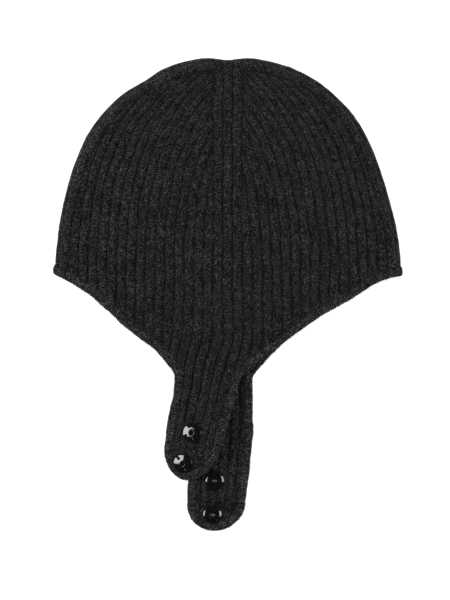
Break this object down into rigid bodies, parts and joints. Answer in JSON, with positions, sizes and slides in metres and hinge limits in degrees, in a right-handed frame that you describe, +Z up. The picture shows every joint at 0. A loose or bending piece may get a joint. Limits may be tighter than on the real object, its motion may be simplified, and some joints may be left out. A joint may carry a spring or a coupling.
{
  "type": "knitted aviator hat",
  "caption": "Rib-knitted wool aviator hat lying flat on its side: open crown, ear flaps running on into chin straps, a knitted edging round the rim, and sew-on press studs.",
  "frame": {"origin": "middle of the hat's bounding box, on the surface that it lies on", "axes": "+Y towards the top of the crown, +X to the right as seen from above, +Z up from the surface"},
  "size_m": [0.233, 0.3132, 0.0281],
  "materials": {
    "wool": "charcoal melange rib knit, matt and slightly fuzzy",
    "edging_wool": "charcoal melange fine knit, matt",
    "stud_lacquer": "glossy black lacquer on pressed brass",
    "sewing_thread": "black spun sewing thread with a slight lustre"
  },
  "bodies": {
    "root": {"knitted_cap": "wool", "edging": "edging_wool", "socket_high": "stud_lacquer", "socket_low": "stud_lacquer", "ball_stud_high": "stud_lacquer", "ball_stud_low": "stud_lacquer"}
  },
  "joints": []
}
